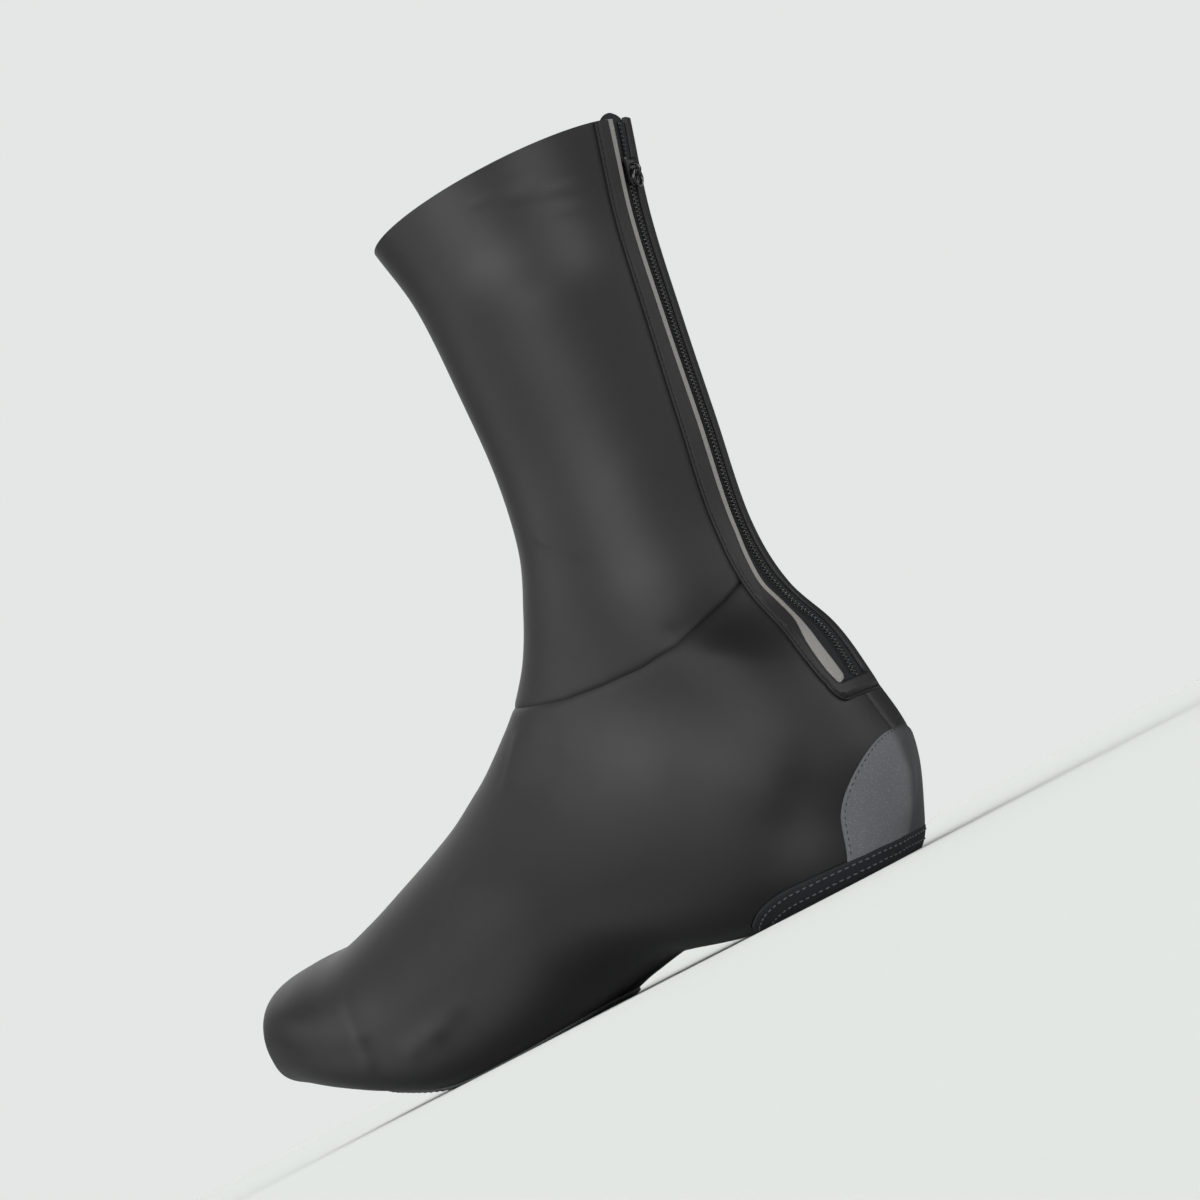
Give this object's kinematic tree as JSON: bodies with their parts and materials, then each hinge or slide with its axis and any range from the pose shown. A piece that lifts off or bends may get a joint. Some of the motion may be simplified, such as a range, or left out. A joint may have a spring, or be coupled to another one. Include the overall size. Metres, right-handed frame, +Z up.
{
  "type": "cycling overshoe",
  "caption": "Tall stretch overshoe for a left cycling shoe: coated fabric foot and shaft, back zip with pull ring, heel patch, bound cleat and heel openings underneath.",
  "frame": {"origin": "on the floor, under the middle of the whole boot's box", "axes": "+X towards the toe, +Y to the wearer's left (the outer side of this left shoe), +Z up"},
  "size_m": [0.3084, 0.1036, 0.2677],
  "materials": {
    "coated_fabric": "matte, soft sheen",
    "patch_fabric": "fine sparkling grain",
    "binding_tape": "woven, matte",
    "zip_tape": "woven, matte",
    "zip_coil": "glossy coil",
    "zip_metal": "gloss black"
  },
  "bodies": {
    "boot": {"foot_panel": "coated_fabric", "shaft": "coated_fabric", "heel_patch": "patch_fabric", "heel_binding": "binding_tape", "cleat_binding": "binding_tape", "zip_facing_left": "coated_fabric", "zip_facing_right": "coated_fabric", "zip_end_box": "coated_fabric", "zip_tape_left": "zip_tape", "zip_tape_right": "zip_tape", "zip_coil": "zip_coil", "zip_slider": "zip_metal"},
    "pull_ring": {"zip_pull_ring": "zip_metal"}
  },
  "joints": [
    {"name": "ring_swing", "type": "hinge", "parent": "boot", "child": "pull_ring", "pos_m": [-0.15041, -0.00458, 0.24529], "axis": [0, 1, 0], "range_deg": [-2, 160]}
  ]
}
